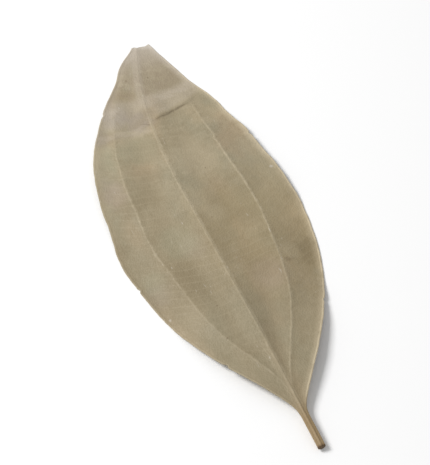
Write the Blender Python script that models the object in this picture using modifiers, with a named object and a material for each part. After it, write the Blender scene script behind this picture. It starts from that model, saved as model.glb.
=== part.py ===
"""A dried Indian bay leaf, lying face up on a flat surface.

The leaf is one grown piece: a long oval blade with a blunt tip, three nerves that run its length, and a
short stalk. Units are metres, +Z is up and +Y runs from the stalk to the tip. The origin is on the
surface that the leaf lies on, under the middle of its box.

The blade is a grid whose rows cross the midrib and whose columns follow it. Each grid point has two
numbers: along, its distance up the midrib from where the blade starts, and share, its place across the
blade, from -1 at the left edge through 0 on the midrib to 1 at the right edge.
"""

import bpy
import numpy as np

# Outline of the blade and its stalk
BLADE_LENGTH = 0.141
STALK_LENGTH = 0.010
STALK_HALF_WIDTH = 0.0009
STALK_FLARE = 0.0010
LEFT_HALF_WIDTH = 0.0248
RIGHT_HALF_WIDTH = 0.0312
LEFT_WIDEST = 0.0675
RIGHT_WIDEST = 0.0710
BASE_FULLNESS = 1.1
BASE_PINCH = 0.45
BASE_PINCH_REACH = 0.007
LEFT_TIP_FULLNESS = 1.17
RIGHT_TIP_FULLNESS = 0.99

# The blunt tip: how far short of a point each half ends, and how its end slants back to the left
LEFT_BLUNT_TIP = 0.0014
RIGHT_BLUNT_TIP = 0.0048
TIP_NOTCH = 0.0011
TIP_CORNER = 0.0014
TIP_CORNER_SHARPNESS = 1.7
TIP_NOTCH_REACH = 0.002

# Where the edges swell out or draw in: on the right or not, place along, how far out, and half length
EDGE_SWELLS = (
    (False, 0.066, 0.0005, 0.010),
    (False, 0.079, -0.0004, 0.008),
    (False, 0.100, 0.0007, 0.014),
    (False, 0.124, -0.0005, 0.009),
    (False, 0.134, 0.00085, 0.0065),
    (True, 0.060, -0.0004, 0.014),
    (True, 0.080, -0.00085, 0.022),
    (True, 0.092, -0.0006, 0.009),
    (True, 0.117, 0.0011, 0.010),
)

# The midrib swings to the right: its slope grows along a ramp that would end past the tip
SWING_START = 0.0720
SWING_LENGTH = 0.0973
SWING_SLOPE = 0.48

# How the dried blade is bowed: along its midrib, and down at both sides
THICKNESS = 0.0006
BOW_HEIGHT = 0.0049
BOW_PEAK = 0.062
STALK_HEIGHT = 0.0028
TIP_HEIGHT = -0.0006
LEFT_CURL_RADIUS = 0.080
RIGHT_CURL_RADIUS = 0.118
FLOOR_SOFTNESS = 0.0003
PRESSED = 0.00015
LEVEL_TOLERANCE = 0.00006

# Waves along the edges, and buckles between them
EDGE_WAVE = 0.0016
LEFT_WAVE_LENGTH = 0.096
RIGHT_WAVE_LENGTH = 0.084
WAVE_LOW_POINT = 0.050
WAVE_RISE = 0.030
WAVE_FALL = 0.020
BUCKLE = 0.0004
BUCKLE_LENGTH = 0.0071
BUCKLE_WIDTH = 0.0065
BUCKLE_SLANT = 1.3
BUCKLE_RISE = 0.040

# Nerves: where they run, half widths, and heights over the blade
RIB_HALF_WIDTH = 0.0012
RIB_HEIGHT = 0.00045
RIB_RISE = 0.010
RIB_TAPER = 0.6
NERVE_HALF_WIDTH = 0.0010
NERVE_HEIGHT = 0.00030
NERVE_FORK = 0.006
NERVE_RISE = 0.010
NERVE_END = 0.124
NERVE_FALL = 0.030
NERVE_SPREAD = 0.038
NERVE_SPREAD_CURVE = 2.2
LEFT_NERVE_SHARE = 0.621
RIGHT_NERVE_SHARE = 0.562
NERVE_TIP_SHARE = 0.09
NERVE_TIP_START = 0.080
NERVE_TIP_RISE = 0.045

# Where the side nerves leave that curve: on the right or not, place along, share outwards, and half length
NERVE_SWELLS = (
    (False, 0.050, -0.044, 0.030),
    (False, 0.103, -0.025, 0.018),
    (True, 0.077, 0.034, 0.029),
)

# The troughs between the nerves
INNER_TROUGH = 0.0008
OUTER_TROUGH = 0.0003
NARROWEST_TROUGH = 0.05
TROUGH_START = 0.012
TROUGH_RISE = 0.030
TROUGH_FALL = 0.040

# Underside: the midrib and the nerves are stouter below, and the stalk is the thickest part
RIB_THICKNESS = 0.0012
UNDER_RIB_HALF_WIDTH = 0.0016
UNDER_RIB_TAPER = 0.7
UNDER_NERVE = 0.4
STALK_THICKNESS = 0.0016
STALK_RUN = 0.012
STALK_ROUNDING = 0.00015

# The crack across the blade near its tip: it drops a little on the left, and climbs to the tip on the right
CREASE_ALONG = 0.1098
CREASE_CLIMB = 0.0112
CREASE_DROP = 0.0020
CREASE_DROP_SHARE = 0.30
CREASE_REACH = BLADE_LENGTH - CREASE_ALONG
CREASE_STEP = 0.00045
CREASE_STEP_SHARE = 0.15
CREASE_FADE = 0.009
CREASE_RIDGE = 0.0003
CREASE_HALF_WIDTH = 0.001

# The grid: columns on the midrib, its foot, the side nerve and its two feet, and the edge
SIDE_COLUMNS = 13
COLUMN_LINES = (0, 1, 2, 6, 7, 8, SIDE_COLUMNS)
WIDEST_FOOT_SHARE = 0.22
WIDEST_FLANK_SHARE = 0.10
STALK_ROWS = 5
CREASE_ROW = 58
ROWS = 76

LEAF_COLOUR = (0.356, 0.296, 0.198, 1.0)
LEAF_ROUGHNESS = 0.62
SHARP_ANGLE = 50.0


def clear_scene():
    for thing in list(bpy.data.objects):
        bpy.data.objects.remove(thing, do_unlink=True)


def ramp(value):
    """0 below 0, 1 above 1, and a smooth rise between."""
    value = np.clip(value, 0.0, 1.0)
    return value * value * (3.0 - 2.0 * value)


def bump(distance, half_width):
    """1 on a line, and 0 from half_width away."""
    return np.cos(0.5 * np.pi * np.clip(distance / half_width, -1.0, 1.0)) ** 2


def higher(first, second, softness):
    """The larger of two heights, with a rounded change from one to the other."""
    return 0.5 * (first + second + np.sqrt((first - second) ** 2 + softness ** 2))


def half_width(along, right):
    """Width from midrib to edge: full at the widest place, narrowing on a curve to the stalk and the tip."""
    full = np.where(right, RIGHT_HALF_WIDTH, LEFT_HALF_WIDTH)
    widest = np.where(right, RIGHT_WIDEST, LEFT_WIDEST)
    tip_fullness = np.where(right, RIGHT_TIP_FULLNESS, LEFT_TIP_FULLNESS)
    blunt = np.where(right, RIGHT_BLUNT_TIP, LEFT_BLUNT_TIP)
    to_tip = np.clip((along - widest) / (BLADE_LENGTH + blunt - widest), 0.0, 1.0)
    to_base = np.clip((widest - along) / widest, 0.0, 1.0)
    width = full * (1.0 - to_tip ** 2) ** tip_fullness * (1.0 - to_base ** 2) ** BASE_FULLNESS
    width *= 1.0 - BASE_PINCH * np.exp(-np.clip(along, 0.0, None) / BASE_PINCH_REACH)
    for on_right, place, out, half_length in EDGE_SWELLS:
        width += out * bump(along - place, half_length) * (right == on_right)
    return higher(width, STALK_HALF_WIDTH, STALK_FLARE)


def midrib(along):
    """Place of the midrib across the leaf, and its heading to the right in radians."""
    swing = np.clip((along - SWING_START) / SWING_LENGTH, 0.0, 1.0)
    place = SWING_SLOPE * SWING_LENGTH * (swing ** 3 - 0.5 * swing ** 4)
    return place, np.arctan(SWING_SLOPE * ramp(swing))


def midrib_height(along):
    """An arch over the surface: highest at the bow's peak, lower at the stalk and lowest at the tip."""
    to_base = (BOW_HEIGHT - STALK_HEIGHT) * ((BOW_PEAK - along) / BOW_PEAK) ** 2
    to_tip = (BOW_HEIGHT - TIP_HEIGHT) * ((along - BOW_PEAK) / (BLADE_LENGTH - BOW_PEAK)) ** 2
    return BOW_HEIGHT - np.where(along < BOW_PEAK, to_base, to_tip)


def nerve_share(along, right):
    """Share of the half width where the side nerve runs: it forks from the midrib, then follows the edge."""
    level = np.where(right, RIGHT_NERVE_SHARE, LEFT_NERVE_SHARE)
    for on_right, place, out, half_length in NERVE_SWELLS:
        level = level + out * bump(along - place, half_length) * (right == on_right)
    spread = 1.0 - (1.0 - np.clip((along - NERVE_FORK) / NERVE_SPREAD, 0.0, 1.0)) ** NERVE_SPREAD_CURVE
    return level * spread + NERVE_TIP_SHARE * ramp((along - NERVE_TIP_START) / NERVE_TIP_RISE)


def nerve_strength(along):
    """1 on the body of the blade, and 0 below the fork and above the place where the side nerves die out."""
    return ramp((along - NERVE_FORK) / NERVE_RISE) * ramp((NERVE_END - along) / NERVE_FALL)


def column_share(column, along, right):
    """Share of each column: the nerves' crests and feet keep columns of their own, the rest spread evenly."""
    width = half_width(along, right)
    foot = np.minimum(RIB_HALF_WIDTH / width, WIDEST_FOOT_SHARE)
    flank = np.minimum(NERVE_HALF_WIDTH / width, WIDEST_FLANK_SHARE)
    crest = np.maximum(nerve_share(along, right), foot + 2.0 * flank)
    lines = (0.0 * foot, 0.5 * foot, foot, crest - flank, crest, crest + flank, 1.0 + 0.0 * foot)
    share = np.zeros_like(along)
    for start, end, inner, outer in zip(COLUMN_LINES, COLUMN_LINES[1:], lines, lines[1:]):
        share += np.clip((column - start) / (end - start), 0.0, 1.0) * (outer - inner)
    return share


def edge_waves(along, across, share, right):
    """Long waves that grow towards the edges, and short buckles across the blade."""
    wave_length = np.where(right, RIGHT_WAVE_LENGTH, LEFT_WAVE_LENGTH)
    wave = -EDGE_WAVE * np.cos(2.0 * np.pi * (along - WAVE_LOW_POINT) / wave_length) * share ** 2
    wave *= ramp(along / WAVE_RISE) * ramp((BLADE_LENGTH - along) / WAVE_FALL)
    buckle = BUCKLE * np.sin(along / BUCKLE_LENGTH + BUCKLE_SLANT * share) * np.sin(across / BUCKLE_WIDTH)
    return wave + buckle * ramp(along / BUCKLE_RISE)


def nerve_relief(along, across, share, right):
    """The raised midrib and side nerves, and the shallow troughs between them."""
    side = np.abs(share)
    crest = nerve_share(along, right)
    rib = RIB_HEIGHT * (1.0 - RIB_TAPER * along / BLADE_LENGTH) * bump(across, RIB_HALF_WIDTH)
    from_nerve = (side - crest) * half_width(along, right)
    nerve = NERVE_HEIGHT * nerve_strength(along) * bump(from_nerve, NERVE_HALF_WIDTH)
    inner = INNER_TROUGH * np.sin(np.pi * np.clip(side / np.maximum(crest, NARROWEST_TROUGH), 0.0, 1.0)) ** 2
    outer = OUTER_TROUGH * np.sin(np.pi * np.clip((side - crest) / (1.0 - crest), 0.0, 1.0)) ** 2
    fade = ramp((along - TROUGH_START) / TROUGH_RISE) * ramp((BLADE_LENGTH - along) / TROUGH_FALL)
    return rib * ramp(along / RIB_RISE) + nerve - (inner + outer) * fade


def crease_height(from_crease, share):
    """Right of the midrib the part beyond the crack stands proud; on the left the crack is a low ridge."""
    ledge = CREASE_STEP * ramp(from_crease / (2.0 * CREASE_HALF_WIDTH) + 0.5)
    ledge *= np.exp(-np.clip(from_crease, 0.0, None) / CREASE_FADE) * ramp(share / CREASE_STEP_SHARE)
    ridge = CREASE_RIDGE * bump(from_crease, 2.0 * CREASE_HALF_WIDTH) * ramp(-share / CREASE_DROP_SHARE)
    return ledge + ridge


def grid_place(column, row, right):
    """Distance along, share, and distance from the crack of each grid point."""
    rows = (0, STALK_ROWS, CREASE_ROW, CREASE_ROW + 2, ROWS)
    stations = (-STALK_LENGTH, 0.0, CREASE_ALONG - CREASE_HALF_WIDTH, CREASE_ALONG + CREASE_HALF_WIDTH,
                BLADE_LENGTH)
    straight = np.interp(row, rows, stations)
    share = np.where(right, 1.0, -1.0) * column_share(np.abs(column), straight, right)

    from_crease = straight - CREASE_ALONG
    bend = CREASE_CLIMB * np.clip(share, 0.0, 1.0) - CREASE_DROP * ramp(-share / CREASE_DROP_SHARE)
    lead = bend * ramp(1.0 - np.abs(from_crease) / CREASE_REACH)
    notch = TIP_NOTCH - TIP_CORNER * np.clip(share, 0.0, 1.0) ** TIP_CORNER_SHARPNESS
    notch *= ramp((straight - BLADE_LENGTH) / TIP_NOTCH_REACH + 1.0)
    return straight + lead - notch, share, from_crease


def leaf_points(column, row):
    """Places of the upper face's points, and how thick the leaf is under each, from 0 thin to 1 stalk."""
    right = column > 0
    along, share, from_crease = grid_place(column, row, right)
    width = half_width(along, right)
    across = share * width

    curl_radius = np.where(right, RIGHT_CURL_RADIUS, LEFT_CURL_RADIUS)
    height = midrib_height(along) - curl_radius * (1.0 - np.cos(across / curl_radius))
    height += edge_waves(along, across, share, right) + nerve_relief(along, across, share, right)
    height += crease_height(from_crease, share) - STALK_ROUNDING * share ** 2 * (1.0 - ramp(along / RIB_RISE))
    floor = THICKNESS + PRESSED
    height = np.maximum(higher(height, floor - 0.1 * FLOOR_SOFTNESS, FLOOR_SOFTNESS), floor)

    middle, heading = midrib(along)
    reach = curl_radius * np.sin(across / curl_radius)
    place = np.stack((middle + reach * np.cos(heading), along - reach * np.sin(heading), height), axis=1)

    under_rib = bump(across, UNDER_RIB_HALF_WIDTH)
    under_rib *= 1.0 - UNDER_RIB_TAPER * np.clip(along, 0.0, None) / BLADE_LENGTH
    from_nerve = (np.abs(share) - nerve_share(along, right)) * width
    under_nerve = UNDER_NERVE * nerve_strength(along) * bump(from_nerve, NERVE_HALF_WIDTH)
    rib_weight = (RIB_THICKNESS - THICKNESS) / (STALK_THICKNESS - THICKNESS)
    stalk = (1.0 - ramp(along / STALK_RUN)) * np.sqrt(1.0 - share ** 2)
    return place, np.maximum(rib_weight * np.maximum(under_rib, under_nerve), stalk)


def leaf_sheet():
    """The leaf's upper face: a flat grid whose points are moved to their places on the blade."""
    bpy.ops.mesh.primitive_grid_add(x_subdivisions=2 * SIDE_COLUMNS, y_subdivisions=ROWS, size=1.0)
    sheet = bpy.context.object
    flat = np.empty(3 * len(sheet.data.vertices))
    sheet.data.vertices.foreach_get("co", flat)
    flat = flat.reshape(-1, 3)
    column = np.rint(flat[:, 0] * 2 * SIDE_COLUMNS)
    row = np.rint((flat[:, 1] + 0.5) * ROWS)
    place, weight = leaf_points(column, row)
    sheet.data.vertices.foreach_set("co", place.ravel())

    thick = sheet.vertex_groups.new(name="thick")
    for index, value in enumerate(weight):
        thick.add([index], float(value), "REPLACE")
    return sheet


def give_thickness(sheet):
    """Turns the sheet into a closed leaf, thickest along the stalk and the nerves.

    The faces are made triangles first, so that both faces of the thin blade are split alike.
    """
    split = sheet.modifiers.new("split", "TRIANGULATE")
    split.quad_method = "FIXED"
    wall = sheet.modifiers.new("wall", "SOLIDIFY")
    wall.thickness = STALK_THICKNESS
    wall.offset = -1.0
    wall.vertex_group = "thick"
    wall.thickness_vertex_group = THICKNESS / STALK_THICKNESS
    evaluated = sheet.evaluated_get(bpy.context.evaluated_depsgraph_get())
    mesh = bpy.data.meshes.new_from_object(evaluated)
    bpy.data.objects.remove(sheet, do_unlink=True)
    return mesh


def lay_down(mesh):
    """Presses the low places flat on the surface, and puts the origin under the middle of the leaf."""
    place = np.empty(3 * len(mesh.vertices))
    mesh.vertices.foreach_get("co", place)
    place = place.reshape(-1, 3)
    settled = place[:, 2] - PRESSED
    place[:, 2] = np.where(settled < LEVEL_TOLERANCE, 0.0, settled)
    place[:, :2] -= 0.5 * (place[:, :2].min(axis=0) + place[:, :2].max(axis=0))
    mesh.vertices.foreach_set("co", place.ravel())
    mesh.update()


def leaf_material():
    material = bpy.data.materials.new("dried leaf")
    material.use_nodes = True
    shader = material.node_tree.nodes["Principled BSDF"]
    shader.inputs["Base Color"].default_value = LEAF_COLOUR
    shader.inputs["Roughness"].default_value = LEAF_ROUGHNESS
    shader.inputs["Metallic"].default_value = 0.0
    return material


def build_leaf():
    collection = bpy.data.collections.new("indian bay leaf")
    bpy.context.scene.collection.children.link(collection)
    mesh = give_thickness(leaf_sheet())
    lay_down(mesh)
    mesh.name = "bay_leaf"
    mesh.materials.clear()
    mesh.materials.append(leaf_material())
    mesh.shade_smooth()
    mesh.set_sharp_from_angle(angle=np.radians(SHARP_ANGLE))
    collection.objects.link(bpy.data.objects.new("bay_leaf", mesh))


clear_scene()
build_leaf()
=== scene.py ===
# %% [markdown]
# # A dried Indian bay leaf
#
# This lesson dresses one dried leaf: a long oval blade with three pale nerves, a blunt cracked tip and a
# short stalk, lying face up on a white table. The leaf is a single surface, so nearly everything in it is
# one formula: two numbers say where we are on the blade, and numpy turns them into a place in space.
#
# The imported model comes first. It fixes the size and the place of everything that follows.

import bpy
import numpy as np
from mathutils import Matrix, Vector


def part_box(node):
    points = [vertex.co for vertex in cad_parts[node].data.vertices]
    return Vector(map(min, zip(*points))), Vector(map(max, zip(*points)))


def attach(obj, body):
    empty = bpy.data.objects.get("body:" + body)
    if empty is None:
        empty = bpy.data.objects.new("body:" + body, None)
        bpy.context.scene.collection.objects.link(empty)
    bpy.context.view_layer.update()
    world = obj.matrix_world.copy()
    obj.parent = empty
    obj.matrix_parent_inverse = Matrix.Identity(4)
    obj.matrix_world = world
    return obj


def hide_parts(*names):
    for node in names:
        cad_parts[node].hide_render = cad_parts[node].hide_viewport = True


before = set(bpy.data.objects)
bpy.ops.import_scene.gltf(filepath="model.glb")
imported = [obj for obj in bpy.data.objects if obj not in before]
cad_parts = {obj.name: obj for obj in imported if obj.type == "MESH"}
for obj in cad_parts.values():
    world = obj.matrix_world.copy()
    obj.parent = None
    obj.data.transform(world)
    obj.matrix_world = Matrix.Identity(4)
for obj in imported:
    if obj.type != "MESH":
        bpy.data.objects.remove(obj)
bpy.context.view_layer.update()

LEAF_NODE = "bay_leaf"
node_low, node_high = (np.array(corner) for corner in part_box(LEAF_NODE))
print("leaf node runs from", node_low, "to", node_high)

# %% [markdown]
# ## Smooth building blocks
#
# Leaves have no hard corners, so three small curves do most of the work. A ramp rises gently from 0 to 1,
# a bump is 1 on a line and fades to 0 on both sides, and a rounded maximum lets the blade settle softly on
# the table. Soft noise adds what grows and dries unevenly. It is a lattice of random numbers from a fixed
# seed, blended between its corners, so each run gives the same leaf. Blender has noise of its own, but a
# script asks for it one point at a time, and numpy works the whole blade out at once.

# %% Ramp, bump, rounded maximum and soft noise
MM = 0.001
LATTICE = 67


def ramp(value):
    """0 below 0, 1 above 1, and 3v^2 - 2v^3 between."""
    value = np.clip(value, 0.0, 1.0)
    return value * value * (3.0 - 2.0 * value)


def bump(distance, half_width):
    """cos^2 of the distance: 1 on the line, 0 from half_width away."""
    return np.cos(0.5 * np.pi * np.clip(distance / half_width, -1.0, 1.0)) ** 2


def higher(first, second, softness):
    """Rounded maximum: the mean of the two plus half the root of their difference squared and a softness."""
    return 0.5 * (first + second + np.sqrt((first - second) ** 2 + softness ** 2))


def soft_noise(x, y, cell, seed):
    """Random numbers from -1 to 1 at the corners of square cells, blended by ramps in between."""
    lattice = np.random.default_rng(seed).uniform(-1.0, 1.0, (LATTICE, LATTICE))
    column, row = np.floor(x / cell), np.floor(y / cell)
    right, up = ramp(x / cell - column), ramp(y / cell - row)
    c0, r0 = column.astype(int) % LATTICE, row.astype(int) % LATTICE
    c1, r1 = (c0 + 1) % LATTICE, (r0 + 1) % LATTICE
    low = lattice[c0, r0] * (1.0 - right) + lattice[c1, r0] * right
    high = lattice[c0, r1] * (1.0 - right) + lattice[c1, r1] * right
    return low * (1.0 - up) + high * up


print("soft noise at three places:", soft_noise(np.array([0.0, 0.5, 1.0]), np.zeros(3), 1.0, 1).round(2))

# %% [markdown]
# ## The outline
#
# A place on the leaf has two numbers. "along" is the distance up the midrib from where the blade starts,
# and it is negative on the stalk. "share" runs across: -1 at the left edge, 0 on the midrib, 1 at the
# right edge. The edges are two curves, full at the widest place and narrowing to the stalk and the tip.
# The right half is the broader one. A dried edge is never one clean curve, so a few long swells push it out
# or draw it in, and the fine unevenness and small nicks that a brittle leaf collects finish it.
#
# An outline could also be traced as a curve. A formula for the half width does more, because it tells every
# point how far it lies from the edge, and the relief and the paint need that later. A pair such as
# HALF_WIDTHS holds the left side's value and then the right side's.

# %% Half width from midrib to edge
BLADE_LENGTH, STALK_LENGTH = 141 * MM, 10 * MM
STALK_HALF_WIDTH, STALK_FLARE = 0.9 * MM, 1.0 * MM
HALF_WIDTHS = (24.8 * MM, 31.2 * MM)
WIDEST_AT = (67.5 * MM, 71.0 * MM)
TIP_FULLNESS = (1.17, 0.99)
BLUNT_TIP = (1.4 * MM, 4.8 * MM)
BASE_FULLNESS = 1.1
BASE_PINCH, BASE_PINCH_REACH = 0.45, 7 * MM
EDGE_SWELLS = (  # on the right side or not, place along, how far out, half length
    (False, 66 * MM, 0.5 * MM, 10 * MM),
    (False, 79 * MM, -0.4 * MM, 8 * MM),
    (False, 100 * MM, 0.7 * MM, 14 * MM),
    (False, 124 * MM, -0.5 * MM, 9 * MM),
    (False, 134 * MM, 0.85 * MM, 6.5 * MM),
    (True, 60 * MM, -0.4 * MM, 14 * MM),
    (True, 80 * MM, -0.85 * MM, 22 * MM),
    (True, 92 * MM, -0.6 * MM, 9 * MM),
    (True, 117 * MM, 1.1 * MM, 10 * MM),
)
EDGE_UNEVENNESS = 0.16 * MM
EDGE_COARSE, EDGE_FINE, EDGE_NOISE_ROWS = 2.3 * MM, 0.9 * MM, (90.0, 50.0)
WORN_FROM, WORN_GROWS = 5 * MM, 10 * MM
NICKS = (  # as the swells, but short and inwards
    (True, 97.5 * MM, -0.55 * MM, 0.9 * MM),
    (True, 33.0 * MM, -0.28 * MM, 0.9 * MM),
    (False, 57.0 * MM, -0.50 * MM, 0.7 * MM),
    (False, 116.0 * MM, -0.45 * MM, 0.9 * MM),
    (False, 23.0 * MM, -0.55 * MM, 1.0 * MM),
)


def by_side(right, pair):
    """The pair's second value right of the midrib, and its first left of it."""
    return np.where(right, pair[1], pair[0])


def swelled(values, swells, along, right):
    """The values plus each swell in turn, a bump at its place on its own side."""
    for on_right, place, out, length in swells:
        values = values + out * bump(along - place, length) * (right == on_right)
    return values


def half_width(along, right):
    """Full width times a power of 1 - t^2 towards the tip and the base, plus swells, less noise and nicks."""
    full, widest, tip_fullness, blunt = (
        by_side(right, pair) for pair in (HALF_WIDTHS, WIDEST_AT, TIP_FULLNESS, BLUNT_TIP))
    to_tip = np.clip((along - widest) / (BLADE_LENGTH + blunt - widest), 0.0, 1.0)
    to_base = np.clip((widest - along) / widest, 0.0, 1.0)
    width = full * (1.0 - to_tip ** 2) ** tip_fullness * (1.0 - to_base ** 2) ** BASE_FULLNESS
    width *= 1.0 - BASE_PINCH * np.exp(-np.clip(along, 0.0, None) / BASE_PINCH_REACH)
    width = swelled(width, EDGE_SWELLS, along, right)
    noise_row = by_side(right, EDGE_NOISE_ROWS)
    rough = soft_noise(along, noise_row, EDGE_COARSE, 11) + 0.5 * soft_noise(along, noise_row, EDGE_FINE, 12)
    width -= EDGE_UNEVENNESS * (0.6 + 0.6 * rough) * ramp((along - WORN_FROM) / WORN_GROWS)
    return higher(swelled(width, NICKS, along, right), STALK_HALF_WIDTH, STALK_FLARE)


middle_width = half_width(np.array([70 * MM, 70 * MM]), np.array([False, True]))
print("blade is", (1000 * middle_width.sum()).round(1), "mm wide and", 1000 * BLADE_LENGTH, "mm long")

# %% [markdown]
# ## Midrib and bow
#
# The midrib is straight for half its length and then swings to the right. Seen from the side it is an arch:
# the dried blade stands a few millimetres off the table in the middle and comes down at its tip. A bend
# modifier could do both. With a formula the distances along the blade stay true, and the nerves and the
# paint follow them.

# %% Midrib: place, heading and height
SWING_START, SWING_LENGTH, SWING_SLOPE = 72.0 * MM, 97.3 * MM, 0.48
BOW_HEIGHT, BOW_PEAK = 4.9 * MM, 62 * MM
STALK_HEIGHT, TIP_HEIGHT = 2.8 * MM, -0.6 * MM
CURL_RADIUS = (80 * MM, 118 * MM)


def midrib(along):
    """Its slope grows along a ramp, so its place across is that ramp's integral, u^3 - u^4 / 2."""
    swing = np.clip((along - SWING_START) / SWING_LENGTH, 0.0, 1.0)
    place = SWING_SLOPE * SWING_LENGTH * (swing ** 3 - 0.5 * swing ** 4)
    return place, np.arctan(SWING_SLOPE * ramp(swing))


def midrib_height(along):
    """Two half parabolas that share the bow's peak, one down to the stalk and one down to the tip."""
    to_base = (BOW_HEIGHT - STALK_HEIGHT) * ((BOW_PEAK - along) / BOW_PEAK) ** 2
    to_tip = (BOW_HEIGHT - TIP_HEIGHT) * ((along - BOW_PEAK) / (BLADE_LENGTH - BOW_PEAK)) ** 2
    return BOW_HEIGHT - np.where(along < BOW_PEAK, to_base, to_tip)


print("midrib ends", (1000 * midrib(np.array([BLADE_LENGTH]))[0][0]).round(1), "mm to the right")

# %% [markdown]
# ## Three nerves and their rungs
#
# Two side nerves fork from the midrib just above the stalk, spread out and then follow the edges. They are
# the mark of this leaf, and a few slow swells keep them from looking ruled. They could be thin tubes laid on
# the blade, but a real nerve is a swelling of the blade itself, so each is a line that the grid follows.
#
# Between them run cross nerves like the rungs of a ladder. A rung is where a slowly growing number, the rung
# count, passes a whole number. Bending that count bends the rungs, and a little noise spaces them unevenly.

# %% Where the nerves and rungs run
NERVE_FORK, NERVE_SPREAD, NERVE_END = 6 * MM, 38 * MM, 124 * MM
NERVE_LEVEL, NERVE_STEEPNESS = (0.621, 0.562), 2.2
NERVE_TIP_SHARE, NERVE_RISE_FROM, NERVE_RISE_GROWS = 0.09, 80 * MM, 45 * MM
NERVE_GROWS, NERVE_DIES = 10 * MM, 30 * MM
NERVE_SWELLS = (  # on the right side or not, place along, share outwards, half length
    (False, 50 * MM, -0.044, 30 * MM),
    (False, 103 * MM, -0.025, 18 * MM),
    (True, 77 * MM, 0.034, 29 * MM),
)
RUNG_SPACING = 2.5 * MM
RUNG_LEAN, RUNG_OUTER_LEAN = 0.16, 0.55
SIDES_APART = 30 * MM
RUNG_SWAYS = (  # how far in rungs, size of the noise's cells, its seed
    (0.45, 9 * MM, 21),
    (0.18, 3.1 * MM, 22),
)


def nerve_share(along, right):
    """Level plus swells, times a curve that leaves the midrib steeply, plus a rise near the tip."""
    level = swelled(by_side(right, NERVE_LEVEL), NERVE_SWELLS, along, right)
    still_to_spread = 1.0 - np.clip((along - NERVE_FORK) / NERVE_SPREAD, 0.0, 1.0)
    spread = 1.0 - still_to_spread ** NERVE_STEEPNESS
    return level * spread + NERVE_TIP_SHARE * ramp((along - NERVE_RISE_FROM) / NERVE_RISE_GROWS)


def nerve_strength(along):
    """1 on the body of the blade, 0 below the fork and above the place where the side nerves die out."""
    return ramp((along - NERVE_FORK) / NERVE_GROWS) * ramp((NERVE_END - along) / NERVE_DIES)


def rung_count(along, across, from_nerve):
    """Distance along in rungs, less a lean that is steeper outside the side nerve, plus noise."""
    outside = np.clip(from_nerve, 0.0, None)
    lean = RUNG_LEAN * (np.abs(across) - outside) + RUNG_OUTER_LEAN * outside
    shifted = across + np.where(across > 0.0, SIDES_APART, 0.0)
    uneven = sum(sway * soft_noise(along, shifted, cell, seed) for sway, cell, seed in RUNG_SWAYS)
    return (along - lean) / RUNG_SPACING + uneven


print("side nerves run at", NERVE_LEVEL, "of the half width")

# %% [markdown]
# ## The crack
#
# Near the tip the blade has been bent until it cracked. Right of the midrib the skin has split along a line
# that climbs towards the tip, and the part beyond it stands a little proud. Left of the midrib it only
# folded. A knife cut would need new points all along it. Here the grid's rows bend to follow the line
# instead, so that the ledge is sharp and nothing is cut.

# %% Where the crack runs
CREASE_ALONG, CREASE_CLIMB, CREASE_DROP = 109.8 * MM, 11.2 * MM, 2.0 * MM
CREASE_REACH = BLADE_LENGTH - CREASE_ALONG
CREASE_STEP, CREASE_FADE = 0.45 * MM, 9 * MM
CREASE_RIDGE, CREASE_HALF_WIDTH = 0.3 * MM, 0.8 * MM
FOLD_SHARE, LEDGE_SHARE = 0.30, 0.15


def crease_lead(from_crease, share):
    """How far a row bends towards the tip: full on the crack, and nothing at the tip and as far below."""
    bend = CREASE_CLIMB * np.clip(share, 0.0, 1.0) - CREASE_DROP * ramp(-share / FOLD_SHARE)
    return bend * ramp(1.0 - np.abs(from_crease) / CREASE_REACH)


print("crack crosses the midrib", round(1000 * (BLADE_LENGTH - CREASE_ALONG), 1), "mm below the tip")

# %% [markdown]
# ## A grid that knows the leaf
#
# An even grid would waste its points on the smooth parts and miss the nerves. Here the columns gather on
# the midrib, on the side nerves and on the rounded edge, and the rows gather at the crack and the tip. The
# same few lines of columns hold at every row, so each nerve stays on columns of its own. On the narrow
# stalk every strip is limited to a share of the width, so that no two cross.

# %% Columns and rows
RIB_FOOT, NERVE_FLANK = 0.9 * MM, 0.8 * MM
RIM_WIDTH, ROUND_EDGE = 0.9 * MM, 0.16 * MM
FOOT_LIMIT, FLANK_LIMIT, RIM_LIMIT, EDGE_LIMIT = 0.22, 0.09, 0.16, 0.06
COLUMN_LINES = (0, 5, 24, 28, 32, 54, 59)
SIDE_COLUMNS = 63
CREASE_ROWS, TIP_ROWS = 1.2 * MM, 1.5 * MM
ROW_LINES = (0, 24, 304, 320, 384, 392)
ROW_STATIONS = (-STALK_LENGTH, 0.0, CREASE_ALONG - CREASE_ROWS, CREASE_ALONG + CREASE_ROWS,
                BLADE_LENGTH - TIP_ROWS, BLADE_LENGTH)


def column_share(column, along, right):
    """Share of each column: even steps between the lines, and a quarter circle's on the round edge."""
    width = half_width(along, right)
    foot = np.minimum(RIB_FOOT / width, FOOT_LIMIT)
    flank = np.minimum(NERVE_FLANK / width, FLANK_LIMIT)
    crest = np.maximum(nerve_share(along, right), foot + 2.0 * flank)
    rim = 1.0 - np.minimum((RIM_WIDTH + ROUND_EDGE) / width, RIM_LIMIT)
    edge = 1.0 - np.minimum(ROUND_EDGE / width, EDGE_LIMIT)
    lines = (0.0 * foot, foot, crest - flank, crest, crest + flank, rim, edge)
    share = np.zeros_like(along)
    for start, end, inner, outer in zip(COLUMN_LINES, COLUMN_LINES[1:], lines, lines[1:]):
        share += np.clip((column - start) / (end - start), 0.0, 1.0) * (outer - inner)
    turn = np.clip((column - COLUMN_LINES[-1]) / (SIDE_COLUMNS - COLUMN_LINES[-1]), 0.0, 1.0)
    return share + (1.0 - edge) * np.sin(0.5 * np.pi * turn)


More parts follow.
